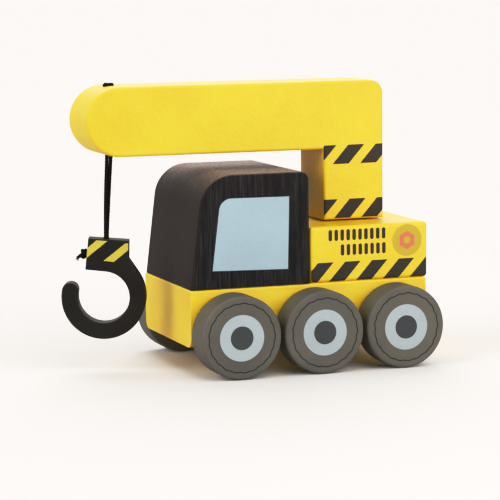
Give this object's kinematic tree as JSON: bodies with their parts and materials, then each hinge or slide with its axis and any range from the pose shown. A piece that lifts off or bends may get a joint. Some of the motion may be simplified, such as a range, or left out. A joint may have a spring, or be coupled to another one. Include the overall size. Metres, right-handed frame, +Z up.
{
  "type": "toy crane truck",
  "caption": "Painted wooden toy crane truck with block chassis and cab, rolling wheels, and a turning L-shaped arm that holds a hook on a cord.",
  "frame": {"origin": "on the ground, under the middle of the whole toy's box", "axes": "+Z up, the truck drives towards -X, +Y is its far side, Y = 0 is the middle plane"},
  "size_m": [0.1678, 0.0974, 0.1322],
  "materials": {
    "yellow_paint": "smooth satin paint on wood",
    "dark_stain": "dark stained wood with its grain showing",
    "wheel_paint": "satin grey-brown paint on turned wood",
    "hook_paint": "satin black paint on plywood",
    "bare_wood": "bare beech dowel",
    "cord_black": "twisted waxed cord",
    "felt": "thin pressed felt",
    "steel": "zinc-plated steel",
    "black_print": "flat printed ink",
    "window_print": "flat printed ink, pale blue",
    "ring_print": "flat printed ink, pale grey-blue",
    "hub_print": "flat printed ink, dark slate",
    "yellow_print": "flat printed ink, yellow",
    "badge_print": "flat printed ink, khaki",
    "coral_print": "flat printed ink, coral"
  },
  "bodies": {
    "truck": {"chassis": "yellow_paint", "cab": "dark_stain", "rear_deck": "yellow_paint", "glue_dowels": "bare_wood", "thrust_washer": "felt"},
    "arm": {"crane_arm": "yellow_paint", "slew_pivot": "bare_wood", "slew_screw": "steel", "retainer_washer": "steel", "boom_cord_front": "cord_black", "boom_cord_rear": "cord_black", "boom_knot": "cord_black"},
    "front_wheels": {"front_axle": "bare_wood", "front_wheel_near": "wheel_paint", "front_wheel_far": "wheel_paint"},
    "middle_wheels": {"middle_axle": "bare_wood", "middle_wheel_near": "wheel_paint", "middle_wheel_far": "wheel_paint"},
    "rear_wheels": {"rear_axle": "bare_wood", "rear_wheel_near": "wheel_paint", "rear_wheel_far": "wheel_paint"},
    "cord": {"lift_cord_front": "cord_black", "lift_cord_rear": "cord_black"},
    "hook": {"hook": "hook_paint", "hook_cord": "cord_black", "hook_knot": "cord_black"}
  },
  "joints": [
    {"name": "arm_slew", "type": "hinge", "parent": "truck", "child": "arm", "pos_m": [0.05309, 0, 0.06605], "axis": [0, 0, 1], "continuous": true},
    {"name": "front_axle_roll", "type": "hinge", "parent": "truck", "child": "front_wheels", "pos_m": [-0.01511, 0, 0.019], "axis": [0, 1, 0], "continuous": true},
    {"name": "middle_axle_roll", "type": "hinge", "parent": "truck", "child": "middle_wheels", "pos_m": [0.02489, 0, 0.019], "axis": [0, 1, 0], "continuous": true},
    {"name": "rear_axle_roll", "type": "hinge", "parent": "truck", "child": "rear_wheels", "pos_m": [0.06489, 0, 0.019], "axis": [0, 1, 0], "continuous": true},
    {"name": "cord_swing", "type": "hinge", "parent": "arm", "child": "cord", "pos_m": [-0.06116, 0, 0.09915], "axis": [0, 1, 0], "range_deg": [-6, 40]},
    {"name": "hook_twist", "type": "hinge", "parent": "cord", "child": "hook", "pos_m": [-0.06306, 0, 0.06105], "axis": [0.0498, 0, 0.9988], "range_deg": [-180, 180]}
  ]
}
